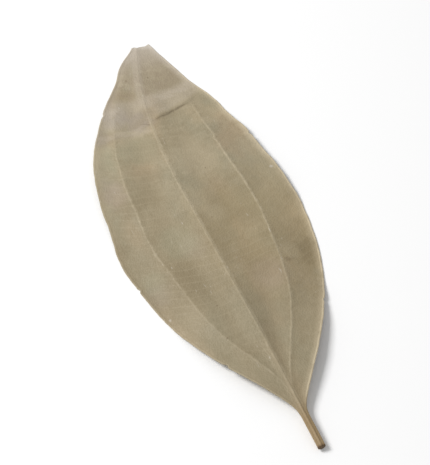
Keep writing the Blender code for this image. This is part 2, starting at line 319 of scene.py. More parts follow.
columns, rows = np.meshgrid(np.arange(-SIDE_COLUMNS, SIDE_COLUMNS + 1.0), np.arange(ROW_LINES[-1] + 1.0))
right = columns > 0
straight = np.interp(rows, ROW_LINES, ROW_STATIONS)
share = np.sign(columns) * column_share(np.abs(columns), straight, right)
from_crease = straight - CREASE_ALONG
print("grid of", columns.shape, "points")

# %% [markdown]
# The tip isn't a neat point. It has broken off short, and its end slants up to the right and is slightly
# ragged, so the last rows are pushed back unevenly.

# %% Distances on the blade
TIP_NOTCH, TIP_CORNER, TIP_FRAY = 0.9 * MM, 1.4 * MM, 0.35 * MM
TIP_CORNER_SHARPNESS, TIP_RAGS, TIP_REACH = 1.7, 5.0, 2 * MM

notch = TIP_NOTCH - TIP_CORNER * np.clip(share, 0.0, 1.0) ** TIP_CORNER_SHARPNESS
notch += TIP_FRAY * (0.5 + 0.5 * soft_noise(share * TIP_RAGS, 0.0 * share, 1.0, 31))
near_tip = ramp((straight - BLADE_LENGTH) / TIP_REACH + 1.0)
along = straight + crease_lead(from_crease, share) - notch * near_tip
width = half_width(along, right)
across = share * width
from_edge = width - np.abs(across)
from_nerve = np.abs(across) - nerve_share(along, right) * width
rungs = rung_count(along, across, from_nerve)
print("rungs from stalk to tip:", int(rungs.max() - rungs.min()))

# %% [markdown]
# ## The bowed sheet
#
# The underside is worked out first, because it is what lies on the table. The blade follows the midrib's
# arch and curls down at both sides, its edges rise and fall in long waves, and between the nerves it sinks
# into shallow troughs. Where all this would pass through the table, the rounded maximum lays it flat. A
# cloth simulation could drop the leaf there, but a formula comes to rest in the same way every time.

# %% Height of the underside
EDGE_WAVE, WAVE_LENGTHS, WAVE_LOW_POINT = 1.6 * MM, (96 * MM, 84 * MM), 50 * MM
WAVE_GROWS, WAVE_DIES = 30 * MM, 20 * MM
BUCKLE, BUCKLE_LENGTH, BUCKLE_WIDTH = 0.4 * MM, 7.1 * MM, 6.5 * MM
BUCKLE_SKEW, BUCKLE_GROWS = 1.3, 40 * MM
INNER_TROUGH, OUTER_TROUGH = 0.8 * MM, 0.3 * MM
TROUGH_FROM, TROUGH_GROWS, TROUGH_DIES = 12 * MM, 30 * MM, 40 * MM
TABLE_SOFTNESS = 0.3 * MM
PUCKER, PUCKER_CELL, PUCKER_SHIFT = 0.13 * MM, 6.5 * MM, 60 * MM
PUCKER_FROM, PUCKER_GROWS = 5 * MM, 20 * MM
SOLID_THICKNESS, PRESSED = 0.6 * MM, 0.15 * MM


def blade_height(along, across, share, right, from_crease):
    """Arch less the curl's circle and the troughs' squared sines, plus waves, buckles, puckers and crack."""
    side, to_tip = np.abs(share), BLADE_LENGTH - along
    radius = by_side(right, CURL_RADIUS)
    curl = radius * (1.0 - np.cos(across / radius))
    wave = -np.cos(2.0 * np.pi * (along - WAVE_LOW_POINT) / by_side(right, WAVE_LENGTHS))
    wave *= EDGE_WAVE * side ** 2 * ramp(along / WAVE_GROWS) * ramp(to_tip / WAVE_DIES)
    buckle = np.sin(along / BUCKLE_LENGTH + BUCKLE_SKEW * share) * np.sin(across / BUCKLE_WIDTH)
    buckle *= BUCKLE * ramp(along / BUCKLE_GROWS)
    crest = nerve_share(along, right)
    inner = INNER_TROUGH * np.sin(np.pi * np.clip(side / np.maximum(crest, 0.05), 0.0, 1.0)) ** 2
    outer = OUTER_TROUGH * np.sin(np.pi * np.clip((side - crest) / (1.0 - crest), 0.0, 1.0)) ** 2
    trough = (inner + outer) * ramp((along - TROUGH_FROM) / TROUGH_GROWS) * ramp(to_tip / TROUGH_DIES)
    ledge = CREASE_STEP * ramp(from_crease / (2.0 * CREASE_HALF_WIDTH) + 0.5) * ramp(share / LEDGE_SHARE)
    ledge *= np.exp(-np.clip(from_crease, 0.0, None) / CREASE_FADE)
    ridge = CREASE_RIDGE * bump(from_crease, 2.0 * CREASE_HALF_WIDTH) * ramp(-share / FOLD_SHARE)
    pucker = PUCKER * soft_noise(along, across + PUCKER_SHIFT, PUCKER_CELL, 41)
    pucker *= ramp((along - PUCKER_FROM) / PUCKER_GROWS)
    return midrib_height(along) - curl + wave + buckle - trough + ledge + ridge + pucker


raised = blade_height(along, across, share, right, from_crease) - SOLID_THICKNESS - PRESSED
# The rounded maximum settles a little under the table, and the plain one cuts it off flat.
raised = np.maximum(higher(raised, -0.1 * TABLE_SOFTNESS, TABLE_SOFTNESS), 0.0)
print("underside rises to", (1000 * raised.max()).round(2), "mm over the table")

# %% [markdown]
# Each point then goes to its place: out from the midrib by the curl's sine, at right angles to the
# midrib's heading. The direction that faces out of the sheet at each point comes from the cross product of
# the two ways along the grid, and thickness and relief are later laid on in that direction.

# %% Places and outward directions


def sheet_points(along, across, height, right):
    """Midrib place plus the curl's reach, turned by the heading, and the height."""
    middle, heading = midrib(along)
    radius = by_side(right, CURL_RADIUS)
    reach = radius * np.sin(across / radius)
    return np.stack((middle + reach * np.cos(heading), along - reach * np.sin(heading), height), axis=-1)


def outward(points):
    """Unit cross product of the steps along the columns and along the rows."""
    facing = np.cross(np.gradient(points, axis=1), np.gradient(points, axis=0))
    return facing / np.maximum(np.linalg.norm(facing, axis=-1, keepdims=True), 1e-12)


sheet = sheet_points(along, across, raised, right)
facing = outward(sheet)
print("steepest part of the sheet tilts", np.degrees(np.arccos(facing[..., 2].min())).round(), "degrees")

# %% [markdown]
# ## Thickness and relief
#
# A dried blade is a third of a millimetre thick. Its nerves are fine raised lines above and stout ribs
# below, where the stalk runs on into the midrib. The rungs lift the skin a little, the edge ends in a slight
# bead, and the crack is a shallow, ragged groove. Everything is multiplied by a roundness that falls to zero
# on the edge along a quarter circle, so the two faces meet there in one line of points and need no wall. A
# Solidify modifier would be shorter, but it gives both faces the same relief and a square edge.

# %% Relief of both faces
BLADE_THICKNESS = 0.34 * MM
RIB_LINE, RIB_SHOULDER = (0.50 * MM, 0.11 * MM), (1.8 * MM, 0.22 * MM)
NERVE_LINE, NERVE_SHOULDER = (0.40 * MM, 0.07 * MM), (1.5 * MM, 0.10 * MM)
UNDER_RIB, UNDER_NERVE = (0.85 * MM, 0.42 * MM), (0.60 * MM, 0.22 * MM)
STALK_DEPTH, STALK_RUN = 1.05 * MM, 12 * MM
RIB_TAPER, STALK_SWELL = 0.6, 0.8
RUNG_LINE, RUNG_PATCHES, RUNG_SHIFT = (0.40 * MM, 0.030 * MM), 11 * MM, 70 * MM
RUNG_LEVEL, RUNG_VARIES = 0.7, 0.5
RUNG_FROM, RUNG_GROWS = 12 * MM, 16 * MM
BEAD, BEAD_GROWS = (0.40 * MM, 0.07 * MM), 8 * MM
GRAIN, GRAIN_CELL, GRAIN_SHIFT = 0.018 * MM, 0.9 * MM, 80 * MM
CRACK_GROOVE, CRACK_BELOW = (0.26 * MM, 0.05 * MM), 0.25 * MM
CRACK_ENDS, CRACK_DIES = (0.08, 0.55), 0.12
CRACK_RAGS, CRACK_RAGS_CELL = 0.22 * MM, 0.9 * MM


def line(distance, size):
    """A raised line: its half width and height are given together."""
    return size[1] * bump(distance, size[0])


taper = 1.0 - RIB_TAPER * np.clip(along, 0.0, None) / BLADE_LENGTH
swell = STALK_SWELL * np.exp(-np.clip(along, 0.0, None) / STALK_RUN)
strength = nerve_strength(along)
rung_fade = RUNG_LEVEL + RUNG_VARIES * soft_noise(along, across + RUNG_SHIFT, RUNG_PATCHES, 51)
rung_fade *= ramp((along - RUNG_FROM) / RUNG_GROWS)
rung_line = (rungs - np.rint(rungs)) * RUNG_SPACING

relief = taper * (line(across, RIB_LINE) + line(across, RIB_SHOULDER)) + swell * line(across, RIB_LINE)
relief += strength * (line(from_nerve, NERVE_LINE) + line(from_nerve, NERVE_SHOULDER))
relief += rung_fade * line(rung_line, RUNG_LINE) + line(from_edge - BEAD[0], BEAD) * ramp(along / BEAD_GROWS)
relief += GRAIN * soft_noise(along, across + GRAIN_SHIFT, GRAIN_CELL, 52)
ragged = CRACK_RAGS * soft_noise(across, 0.0 * across, CRACK_RAGS_CELL, 53)
on_crack = ramp(share / CRACK_ENDS[0]) * ramp((CRACK_ENDS[1] - share) / CRACK_DIES)
relief -= on_crack * line(from_crease + CRACK_BELOW + ragged, CRACK_GROOVE)

under = taper * line(across, UNDER_RIB) + strength * line(from_nerve, UNDER_NERVE)
under += rung_fade * line(rung_line, RUNG_LINE)
under = np.maximum(under, STALK_DEPTH * (1.0 - ramp(along / STALK_RUN)) * np.sqrt(1.0 - share ** 2))

roundness = np.sqrt(1.0 - (1.0 - np.clip(from_edge / ROUND_EDGE, 0.0, 1.0)) ** 2)[..., None]
upper = sheet + facing * (0.5 * BLADE_THICKNESS * (1.0 + roundness) + relief[..., None] * roundness)
lower = sheet + facing * (0.5 * BLADE_THICKNESS * (1.0 - roundness) - under[..., None] * roundness)
lower[..., 2] = np.maximum(lower[..., 2], 0.0)
print("relief above", (1000 * relief.max()).round(2), "mm, below", (1000 * under.max()).round(2), "mm")

# %% [markdown]
# ## From grid to mesh
#
# The two faces are the same grid of quads, the lower one turned over. They share the points of both edges,
# and a narrow strip of quads closes each end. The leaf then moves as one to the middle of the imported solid.
# A grid primitive could be bent into shape point by point, but handing all points over at once is quicker.

# %% Put the faces together
count = columns.size
top_index = np.arange(count).reshape(columns.shape)
bottom_index = top_index + count
bottom_index[:, [0, -1]] = top_index[:, [0, -1]]


def quads(index):
    """Each grid cell's four corners, anticlockwise seen from the side that the faces point to."""
    return np.stack((index[:-1, :-1], index[:-1, 1:], index[1:, 1:], index[1:, :-1]), axis=-1).reshape(-1, 4)


stalk_end = quads(np.stack((bottom_index[0], top_index[0])))
tip_end = quads(np.stack((top_index[-1], bottom_index[-1])))
faces = np.concatenate((quads(top_index), quads(bottom_index)[:, ::-1], stalk_end, tip_end))
points = np.concatenate((upper.reshape(-1, 3), lower.reshape(-1, 3)))
middle = 0.5 * (points.min(axis=0) + points.max(axis=0))
points[:, :2] += 0.5 * (node_low + node_high)[:2] - middle[:2]
used, corners = np.unique(faces, return_inverse=True)
corners = corners.reshape(-1, 4)
print(len(used), "points and", len(corners), "faces")


def mesh_piece(name, points, corners):
    """A new object from points and faces of four corners; a corner named twice makes it a triangle."""
    face_list = [list(dict.fromkeys(face)) for face in corners.tolist()]
    mesh = bpy.data.meshes.new(name)
    mesh.from_pydata(points.tolist(), [], face_list)
    mesh.shade_smooth()
    piece = bpy.data.objects.new(name, mesh)
    bpy.context.scene.collection.objects.link(piece)
    return piece


leaf = mesh_piece("dried_bay_leaf", points[used], corners)
print("leaf has", sum(len(face.vertices) - 2 for face in leaf.data.polygons), "triangles")

# %% [markdown]
# ## What the paint needs to know
#
# The mesh is fine, but a nerve's pale line is finer still. So no line is painted on the points. The points
# carry plain distances in millimetres instead: to the midrib, to the side nerve, to the edge and to the
# crack. Distances stay exact between points, and the material draws crisp lines from them. The leaf also
# gets a UV map, its two faces side by side.

# %% Distances as attributes, and the UV map
UV_SCALE, UV_UPPER, UV_UNDER = 5.0, (0.25, 0.12), (0.70, 0.12)


def on_points(name, values):
    """Stores one number for each point, the same on both faces."""
    twice = np.concatenate((values.ravel(), values.ravel()))[used]
    layer = leaf.data.attributes.new(name, "FLOAT", "POINT")
    layer.data.foreach_set("value", twice.astype(np.float32))


on_points("across_mm", across / MM)
on_points("along_mm", along / MM)
on_points("from_nerve_mm", from_nerve / MM)
on_points("from_edge_mm", from_edge / MM)
on_points("from_crease_mm", from_crease / MM)
on_points("nerve_strength", strength)
on_points("rung_count", rungs)
on_points("rung_fade", rung_fade)
on_points("share", share)

is_under = leaf.data.attributes.new("underside", "FLOAT", "POINT")
is_under.data.foreach_set("value", (used >= count).astype(np.float32))

loop_points = np.empty(len(leaf.data.loops), dtype=np.int32)
leaf.data.loops.foreach_get("vertex_index", loop_points)
loops_below = np.repeat(np.arange(len(leaf.data.polygons)) >= len(quads(top_index)),
                        [len(face.vertices) for face in leaf.data.polygons])
grid_place = used[loop_points] % count
flat_uv = np.stack((across.ravel()[grid_place], along.ravel()[grid_place]), axis=1) * UV_SCALE
flat_uv += np.where(loops_below[:, None], UV_UNDER, UV_UPPER)
leaf.data.uv_layers.new(name="blade").data.foreach_set("uv", flat_uv.astype(np.float32).ravel())
print("attributes:", [layer.name for layer in leaf.data.attributes if not layer.name.startswith(".")])

# %% [markdown]
# ## Painting with nodes
#
# A material is a graph, and a few short helpers make it read like a recipe. "calc" is one step of
# arithmetic, "fade" turns a distance into a soft 0-to-1 mask, "window" is a mask with two soft ends, "tint"
# lays one colour over another through a mask, and "speckle" is noise that follows the blade's own
# millimetres. An image could be painted instead, but it would blur close up, and a graph stays sharp.

# %% Helpers for shader nodes


def paint(red, green, blue):
    """A screen colour, 0 to 255 each, turned into the linear light that shaders use."""
    screen = np.array((red, green, blue)) / 255.0
    linear = np.where(screen <= 0.04045, screen / 12.92, ((screen + 0.055) / 1.055) ** 2.4)
    return (*linear.tolist(), 1.0)


def add_node(tree, kind, **settings):
    """A new node with the given settings."""
    node = tree.nodes.new(kind)
    for name, value in settings.items():
        setattr(node, name, value)
    return node


def feed(tree, socket, value):
    """Links another node's output, or sets a plain value."""
    if isinstance(value, bpy.types.NodeSocket):
        tree.links.new(value, socket)
    else:
        socket.default_value = value


def calc(tree, operation, first, second=0.0):
    """One step of arithmetic with one value or two."""
    node = add_node(tree, "ShaderNodeMath", operation=operation)
    feed(tree, node.inputs[0], first)
    feed(tree, node.inputs[1], second)
    return node.outputs[0]


def fade(tree, value, start, end):
    """0 at start and 1 at end, smooth in between; start may be the larger."""
    node = add_node(tree, "ShaderNodeMapRange", interpolation_type="SMOOTHSTEP")
    feed(tree, node.inputs["Value"], value)
    feed(tree, node.inputs["From Min"], start)
    feed(tree, node.inputs["From Max"], end)
    return node.outputs[0]


def scaled(tree, value, factor, start):
    """start + factor * value."""
    return calc(tree, "ADD", calc(tree, "MULTIPLY", value, factor), start)


def both(tree, *masks):
    """Masks multiplied together."""
    product = masks[0]
    for mask in masks[1:]:
        product = calc(tree, "MULTIPLY", product, mask)
    return product


def window(tree, value, start, full, falling, gone):
    """0 at start, 1 from full to falling, and 0 again from gone on, smooth in between."""
    return both(tree, fade(tree, value, start, full), fade(tree, value, gone, falling))


def tint(tree, mask, under_colour, over_colour):
    """The under colour where the mask is 0 and the over colour where it is 1."""
    node = add_node(tree, "ShaderNodeMix", data_type="RGBA")
    # Sockets 1 to 5 are for plain numbers and vectors, and the two colours come after them.
    feed(tree, node.inputs[0], mask)
    feed(tree, node.inputs[6], under_colour)
    feed(tree, node.inputs[7], over_colour)
    return node.outputs[2]


def read(tree, name):
    """A number that the points carry."""
    return add_node(tree, "ShaderNodeAttribute", attribute_name=name).outputs["Fac"]


print("a painter's mid grey is", round(paint(128, 128, 128)[0], 3), "in linear light")

# %% [markdown]
# Every pattern below is laid out in the blade's own millimetres, so it follows the surface. The third
# coordinate keeps the patterns of the two faces apart.

# %% Patterns on the blade
FACES_APART = 37.0


def blade_place(tree, stretch=(1.0, 1.0)):
    """Across, along and face as one vector, with each axis stretched as asked."""
    node = add_node(tree, "ShaderNodeCombineXYZ")
    feed(tree, node.inputs[0], calc(tree, "MULTIPLY", read(tree, "across_mm"), stretch[0]))
    feed(tree, node.inputs[1], calc(tree, "MULTIPLY", read(tree, "along_mm"), stretch[1]))
    feed(tree, node.inputs[2], calc(tree, "MULTIPLY", read(tree, "underside"), FACES_APART))
    return node.outputs[0]


def speckle(tree, place, cell_mm, shift=0.0, detail=2.0, swirl=0.0):
    """Noise from 0 to 1 whose blotches are about as wide as the cell; swirl curls them."""
    moved = add_node(tree, "ShaderNodeVectorMath", operation="ADD")
    feed(tree, moved.inputs[0], place)
    moved.inputs[1].default_value = (shift, 2.0 * shift, shift)
    node = add_node(tree, "ShaderNodeTexNoise")
    feed(tree, node.inputs["Vector"], moved.outputs[0])
    node.inputs["Scale"].default_value = 1.0 / cell_mm
    node.inputs["Detail"].default_value = detail
    node.inputs["Distortion"].default_value = swirl
    return node.outputs["Fac"]


def net(tree, place, cell_mm, feature="DISTANCE_TO_EDGE"):
    """Cells like those of a leaf's finest veins; the distance to a cell's wall is in cells."""
    node = add_node(tree, "ShaderNodeTexVoronoi", feature=feature)
    feed(tree, node.inputs["Vector"], place)
    node.inputs["Scale"].default_value = 1.0 / cell_mm
    return node.outputs["Distance"]


print("patterns are laid out in millimetres of the blade")

# %% [markdown]
# ## The dried skin
#
# Seen closely, the blade isn't one green. It is a dull khaki that drifts a little to grey in some places and
# to brown in others, broken up by a fine mottle. Large soft patches darken, lighten or redden it. Some are
# the uneven colour of a leaf that dried unevenly, and some are painted shade and painted light. Noise alone
# could give patches too, but not where this leaf has them. On top lie, from faint to strong: the net of the
# finest veins, the rungs, the pale nerves and the pale edge, then the marks of wear.

# %% Colours of the skin
KHAKI, GREY_KHAKI, WARM_KHAKI = paint(158, 145, 118), paint(152, 143, 118), paint(163, 146, 118)
# The dark mottle tone also paints shade, and the shade tone further down is painted shade only.
DARK_MOTTLE_AND_SHADE, VEIN_PALE = paint(139, 125, 97), paint(177, 164, 137)
NERVE_PALE, EDGE_PALE = paint(184, 171, 144), paint(214, 198, 168)
UNDER_SAGE, UNDER_STRAW, UNDER_NERVE_TONE = paint(172, 163, 138), paint(172, 158, 131), paint(188, 172, 140)
CRACK_DARK, CRACK_BROWN, SCAR_PALE = paint(84, 66, 50), paint(130, 113, 88), paint(186, 174, 156)
TIP_PALE, TIP_BROWN, FRINGE = paint(193, 183, 170), paint(145, 129, 105), paint(207, 199, 187)
STALK_TONE, STALK_CUT, SPECK_BROWN = paint(150, 128, 94), paint(112, 88, 62), paint(98, 76, 54)
SAGE_DRIFT, ROSE_DRIFT, STRAW_DRIFT = paint(153, 150, 124), paint(168, 151, 134), paint(186, 168, 136)
PAINTED_SHADE, OCHRE_DRIFT, MAUVE_DRIFT = paint(126, 111, 83), paint(174, 150, 94), paint(157, 146, 139)
DRIFTS = (  # size in millimetres, place in the noise, where the mask is 0 and 1, colour
    (16.0, 3.0, 0.42, 0.62, GREY_KHAKI),
    (13.0, 9.0, 0.50, 0.68, WARM_KHAKI),
)
DRIFT_STRETCH = (1.0, 0.45)
MOTTLES = (  # size in millimetres, place in the noise, then how far it darkens and lightens
    (9.0, 31.0, 0.26, 0.20),
    (4.0, 1.0, 0.22, 0.18),
    (1.7, 14.0, 0.25, 0.19),
)
STALK_SHADE_FROM_MM, STALK_SHADE_FULL_MM, STALK_SHADE_AMOUNT = 105.0, 30.0, 0.40
PATCH_GRAIN_MM = 3.0
PATCHES = (  # a colour, then its patches: across, along and radius in millimetres, and the strength
    # Dark patches: partly the leaf's own mottle and partly painted shade.
    (DARK_MOTTLE_AND_SHADE, (
        (-19.0, 69.0, 13.0, 0.42),
        (-22.0, 48.0, 10.0, 0.35),
        (-7.0, 52.0, 13.0, 0.42),
        (-13.0, 58.0, 8.0, 0.30),
        (-13.0, 85.0, 9.0, 0.46),
        (-10.5, 122.5, 7.0, 0.74),
        (-3.8, 120.0, 4.0, 0.50),
        (2.0, 62.0, 6.0, 0.36),
        (8.5, 54.0, 6.0, 0.30),
        (12.0, 73.0, 9.0, 0.50),
        (27.0, 50.0, 9.0, 0.62),
        (8.0, 126.0, 5.0, 0.35),
        (8.0, 123.0, 3.0, 0.30),
        (4.5, 116.8, 3.0, 0.32),
    )),
    (VEIN_PALE, (
        (1.5, 78.0, 6.0, 0.36),
        (7.0, 92.0, 9.0, 0.34),
        (5.5, 71.5, 4.0, 0.34),
        (1.5, 50.5, 3.5, 0.28),
        (19.5, 52.0, 4.0, 0.32),
        (-10.0, 103.0, 5.0, 0.32),
        (24.0, 84.0, 14.0, 0.30),
        (-20.0, 100.0, 8.0, 0.25),
        (-18.0, 103.5, 5.0, 0.45),
        (-8.5, 108.0, 7.0, 0.36),
        (11.5, 116.0, 5.0, 0.35),
        (-2.8, 126.0, 3.5, 0.40),
    )),
    (SCAR_PALE, (
        (-10.0, 113.0, 6.0, 0.30),
    )),
    (MAUVE_DRIFT, (
        (-3.0, 111.5, 5.0, 0.45),
        (-9.5, 115.0, 5.5, 0.38),
        (-16.5, 108.5, 4.5, 0.30),
        (-19.0, 91.0, 4.5, 0.13),
        (-4.5, 62.5, 5.0, 0.10),
        (-20.0, 52.5, 5.0, 0.14),
    )),
    # Painted light on the tip's left corner, over its own pale colour.
    (TIP_PALE, (
        (-8.0, 133.0, 4.0, 0.30),
        (-3.5, 136.5, 3.0, 0.40),
    )),
    (STRAW_DRIFT, (
        (21.0, 66.0, 10.0, 0.16),
        (16.5, 110.0, 6.0, 0.40),
        (30.0, 64.5, 5.0, 0.45),
    )),
    (SAGE_DRIFT, (
        (-19.0, 57.0, 4.5, 0.24),
        (-8.0, 66.0, 7.0, 0.34),
        (-13.0, 100.0, 6.0, 0.34),
        (-5.0, 101.0, 7.0, 0.40),
    )),
    (ROSE_DRIFT, (
        (11.0, 46.0, 6.5, 0.34),
        (-18.0, 88.0, 5.0, 0.38),
    )),
    (OCHRE_DRIFT, (
        (22.0, 62.0, 30.0, 0.12),
        (-5.0, 121.5, 3.6, 0.18),
    )),
    # Painted shade: these patches darken the blade where it lies in shade.
    (PAINTED_SHADE, (
        (27.5, 50.5, 6.5, 0.60),
        (-25.5, 70.5, 5.0, 0.48),
        (-12.5, 53.0, 7.5, 0.26),
        (-15.5, 82.0, 5.0, 0.26),
        (-3.5, 101.0, 6.5, 0.20),
        (9.0, 49.0, 4.5, 0.24),
        (13.5, 67.0, 4.5, 0.20),
        (17.5, 79.0, 6.5, 0.22),
        (-9.5, 121.0, 4.0, 0.25),
        (-2.8, 113.0, 4.5, 0.20),
        (-12.5, 107.5, 2.8, 0.32),
        (-6.5, 91.0, 3.8, 0.24),
        (12.0, 82.5, 4.5, 0.18),
    )),
)


def spot_mask(tree, place, grain, across, along, radius):
    """1 in the middle of a round spot and 0 outside, from the distance to its middle, ragged by the grain."""
    away = add_node(tree, "ShaderNodeVectorMath", operation="DISTANCE")
    feed(tree, away.inputs[0], place)
    away.inputs[1].default_value = (across, along, 0.0)
    ragged = scaled(tree, grain, 0.8 * radius, -0.4 * radius)
    return fade(tree, calc(tree, "ADD", away.outputs["Value"], ragged), 1.1 * radius, 0.4 * radius)


def laid_spots(tree, colour, groups, grain_mm):
    """The colour with the spots of every group laid over it in turn."""
    place = blade_place(tree)
    grain = speckle(tree, place, grain_mm, 66.0, 3.0)
    for tone, spots in groups:
        for across, along, radius, amount in spots:
            mask = spot_mask(tree, place, grain, across, along, radius)
            colour = tint(tree, both(tree, mask, amount), colour, tone)
    return colour


def skin_colour(tree):
    """Drifting base colour of both faces, with its mottle, painted shade towards the stalk, and the patches.
    """
    place = blade_place(tree)
    long_place = blade_place(tree, DRIFT_STRETCH)
    colour = KHAKI
    for cell, shift, start, full, tone in DRIFTS:
        colour = tint(tree, fade(tree, speckle(tree, long_place, cell, shift), start, full), colour, tone)
    pale = tint(tree, fade(tree, speckle(tree, place, 14.0, 5.0), 0.35, 0.65), UNDER_SAGE, UNDER_STRAW)
    colour = tint(tree, read(tree, "underside"), colour, pale)
    for cell, shift, dark, light in MOTTLES:
        curls = speckle(tree, place, cell, shift, 3.0, 1.0)
        colour = tint(tree, both(tree, fade(tree, curls, 0.50, 0.70), dark), colour, DARK_MOTTLE_AND_SHADE)
        colour = tint(tree, both(tree, fade(tree, curls, 0.50, 0.30), light), colour, VEIN_PALE)
    # Painted shade: the whole skin darkens towards the stalk.
    stalk_shade = fade(tree, read(tree, "along_mm"), STALK_SHADE_FROM_MM, STALK_SHADE_FULL_MM)
    colour = tint(tree, both(tree, stalk_shade, STALK_SHADE_AMOUNT), colour, DARK_MOTTLE_AND_SHADE)
    return laid_spots(tree, colour, PATCHES, PATCH_GRAIN_MM)


print("skin has", len(MOTTLES), "mottles and", sum(len(spots) for tone, spots in PATCHES), "soft patches")

# %% [markdown]
# The finest veins close into a net of small cells. A Voronoi pattern has just such cells, and its distance to
# a cell's wall draws the veins. A rung is drawn where the stored rung count comes near a whole number, so the
# pale line and the raised one agree.

# %% Net and rungs
NET_CELL_MM, NET_STRETCH = 0.85, (1.0, 1.25)
NET_AMOUNT, NET_MORE_BELOW, RUNG_AMOUNT = 0.10, 0.22, 0.17


def on_blade(tree):
    """0 on the stalk and 1 on all but the lowest part of the blade."""
    return fade(tree, read(tree, "along_mm"), 1.0, 9.0)


def fine_vein_colour(tree, colour):
    """Net and rungs laid over the skin, the net more strongly on the underside."""
    walls = fade(tree, net(tree, blade_place(tree, NET_STRETCH), NET_CELL_MM), 0.14, 0.02)
    shows = scaled(tree, read(tree, "underside"), NET_MORE_BELOW, NET_AMOUNT)
    colour = tint(tree, both(tree, walls, shows, on_blade(tree)), colour, VEIN_PALE)
    count = read(tree, "rung_count")
    off_rung = calc(tree, "ABSOLUTE", calc(tree, "SUBTRACT", count, calc(tree, "ROUND", count)))
    rung_mask = both(tree, fade(tree, off_rung, 0.11, 0.03), read(tree, "rung_fade"), RUNG_AMOUNT)
    return tint(tree, rung_mask, colour, VEIN_PALE)


print("net has cells of", NET_CELL_MM, "mm")

# %% [markdown]
# The nerves are drawn from the stored distances. Each is a soft pale line that wanders a little, breaks here
# and there and fades on the lower half, with small dark flecks beside it. The midrib fades beyond the crack
# too, the left nerve fades high up, and a painted shade lies close to the midrib's right side.

# %% Nerves
NERVE_CORE_MM, NERVE_SOFT_MM = 0.16, 0.52
RIB_CORE_MM, RIB_SOFT_MM, RIB_SHIFT_MM = 0.22, 0.66, 0.20
WANDER_MM = 0.8
FLECK_AMOUNT, RIB_SHADE = 0.30, 0.20


def off_nerves(tree):
    """How far a place lies from the midrib and from its side nerve in millimetres, with some wander."""
    wander = scaled(tree, speckle(tree, blade_place(tree), 4.0, 23.0, 2.0), WANDER_MM, -0.5 * WANDER_MM)
    to_rib = calc(tree, "SUBTRACT", read(tree, "across_mm"), RIB_SHIFT_MM)
    off_rib = calc(tree, "ABSOLUTE", calc(tree, "ADD", to_rib, wander))
    off_nerve = calc(tree, "ABSOLUTE", calc(tree, "ADD", read(tree, "from_nerve_mm"), wander))
    return off_rib, off_nerve


def nerve_shade_colour(tree, colour):
    """Dark flecks beside all three nerves, and a painted shade right of the midrib on the lower blade."""
    off_rib, off_nerve = off_nerves(tree)
    beside = calc(tree, "MAXIMUM", fade(tree, off_nerve, 2.0, 0.6), fade(tree, off_rib, 2.2, 0.8))
    flecks = fade(tree, speckle(tree, blade_place(tree), 1.1, 25.0, 2.0), 0.52, 0.66)
    colour = tint(tree, both(tree, beside, flecks, on_blade(tree), FLECK_AMOUNT), colour, DARK_MOTTLE_AND_SHADE)
    # Painted shade along the midrib's right side on the lower blade.
    right_of_rib = window(tree, read(tree, "across_mm"), 0.2, 1.0, 1.8, 4.8)
    lower = fade(tree, read(tree, "along_mm"), 77.0, 70.0)
    return tint(tree, both(tree, right_of_rib, lower, RIB_SHADE), colour, PAINTED_SHADE)


def nerve_colour(tree, colour):
    """Pale lines where the distance to a nerve is small, stronger in some parts than in others."""
    off_rib, off_nerve = off_nerves(tree)
    along, share = read(tree, "along_mm"), read(tree, "share")
    broken = fade(tree, speckle(tree, blade_place(tree), 1.6, 21.0, 3.0), 0.34, 0.56)
    upper_half = scaled(tree, fade(tree, along, 50.0, 85.0), 0.45, 0.55)
    right_side = scaled(tree, fade(tree, share, -0.2, 0.2), 0.50, 0.50)
    upper_left = both(tree, fade(tree, along, 95.0, 103.0), fade(tree, share, 0.1, -0.1))
    nerve_mask = both(tree, fade(tree, off_nerve, NERVE_SOFT_MM, NERVE_CORE_MM), read(tree, "nerve_strength"),
                      scaled(tree, broken, 0.45, 0.25), upper_half, right_side,
                      scaled(tree, upper_left, -0.7, 1.0))
    below_crack = scaled(tree, fade(tree, read(tree, "from_crease_mm"), 0.0, 6.0), -0.55, 1.0)
    rib_mask = both(tree, fade(tree, off_rib, RIB_SOFT_MM, RIB_CORE_MM), on_blade(tree),
                    scaled(tree, broken, 0.32, 0.22), upper_half, below_crack)
    pale = tint(tree, read(tree, "underside"), NERVE_PALE, UNDER_NERVE_TONE)
    return tint(tree, calc(tree, "MAXIMUM", nerve_mask, rib_mask), colour, pale)


print("side nerves are drawn", 2 * NERVE_CORE_MM, "mm wide")

# %% [markdown]
# The edge is drawn the same way: a pale line, partly its own colour and partly a painted highlight. It is
# brightest on the right, widest below the crack, and painted shade lies along the middle of the left side.

# %% Edge
EDGE_CORE_MM, EDGE_SOFT_MM = 0.45, 0.90
RIM_AMOUNT, EDGE_SHADE = 0.75, 0.55


def edge_colour(tree, colour):
    """Painted shade inside the left edge, then a pale edge line and soft band, partly painted highlight."""
    along, share, from_edge = read(tree, "along_mm"), read(tree, "share"), read(tree, "from_edge_mm")
    # Painted shade along the middle of the left edge.
    middle_left = both(tree, window(tree, along, 44.0, 58.0, 90.0, 100.0), fade(tree, share, -0.5, -0.7))
    shaded = both(tree, fade(tree, from_edge, 2.6, 0.2), middle_left, EDGE_SHADE)
    colour = tint(tree, shaded, colour, DARK_MOTTLE_AND_SHADE)
    # The pale rim is partly the edge's own colour and partly a painted highlight, strongest on the right.
    below_crack = window(tree, along, 78.0, 92.0, 107.0, 116.0)
    edge_line = both(tree, fade(tree, from_edge, EDGE_SOFT_MM, EDGE_CORE_MM), RIM_AMOUNT)
    edge_band = both(tree, fade(tree, from_edge, 2.8, 0.5), scaled(tree, below_crack, 0.24, 0.32))
    on_right = scaled(tree, fade(tree, share, -0.2, 0.2), 0.80, 0.15)
    worn = scaled(tree, fade(tree, speckle(tree, blade_place(tree), 3.0, 27.0), 0.30, 0.50), 0.45, 0.55)
    rim = both(tree, calc(tree, "MAXIMUM", edge_line, edge_band), on_blade(tree), on_right, worn)
    return tint(tree, rim, colour, EDGE_PALE)


print("edge line is drawn", EDGE_CORE_MM, "mm wide")
